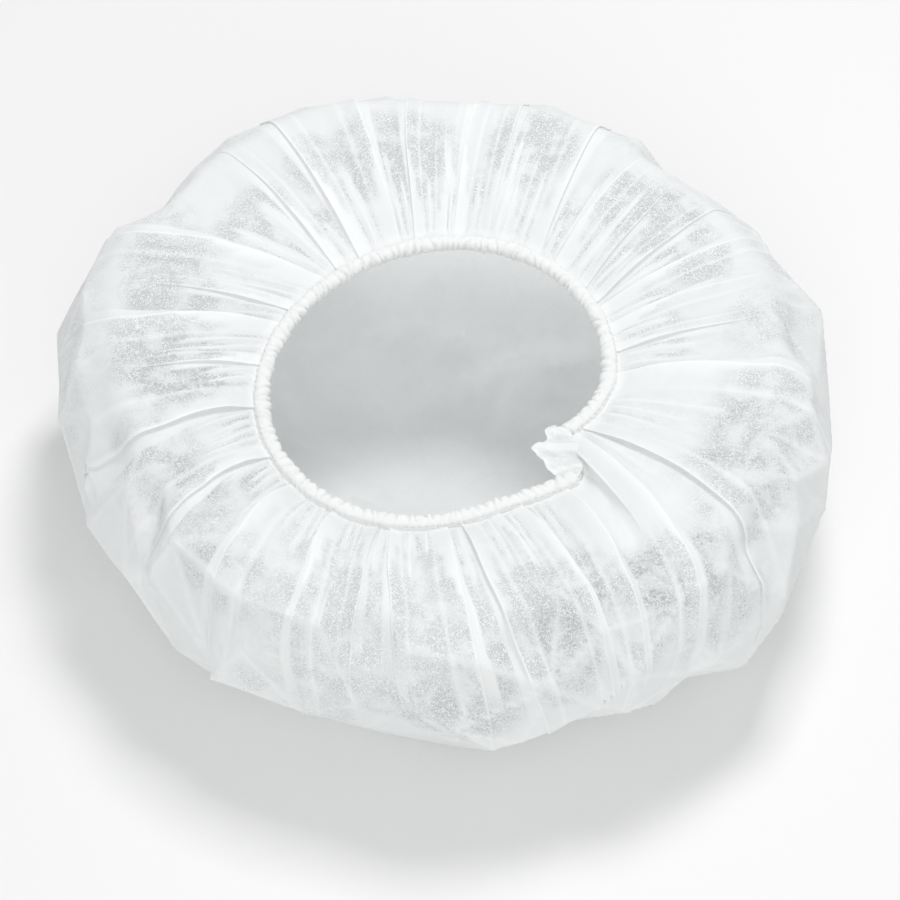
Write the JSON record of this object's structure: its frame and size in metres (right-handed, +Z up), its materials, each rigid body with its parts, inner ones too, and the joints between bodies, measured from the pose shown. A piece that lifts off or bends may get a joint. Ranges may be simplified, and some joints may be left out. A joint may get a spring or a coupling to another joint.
{
  "type": "gathered disposable hair cover cap",
  "caption": "Round hair cover of thin nonwoven cloth, gathered by pleats into a ruffled elastic hem, lying on its crown with the opening up.",
  "frame": {"origin": "middle of the cap's outline seen from above, at the height of the patch of crown that it rests on", "axes": "+X to the right along the widest way across, +Y to the back where the opening stands highest, +Z up out of the opening"},
  "size_m": [0.2846, 0.2752, 0.106],
  "materials": {
    "nonwoven_cloth": "matte",
    "hem_cloth": "matte",
    "elastic_rubber": "matte"
  },
  "bodies": {
    "root": {"crown": "nonwoven_cloth", "hem_casing": "hem_cloth", "elastic_ring": "elastic_rubber", "seam_tab": "nonwoven_cloth"}
  },
  "joints": []
}
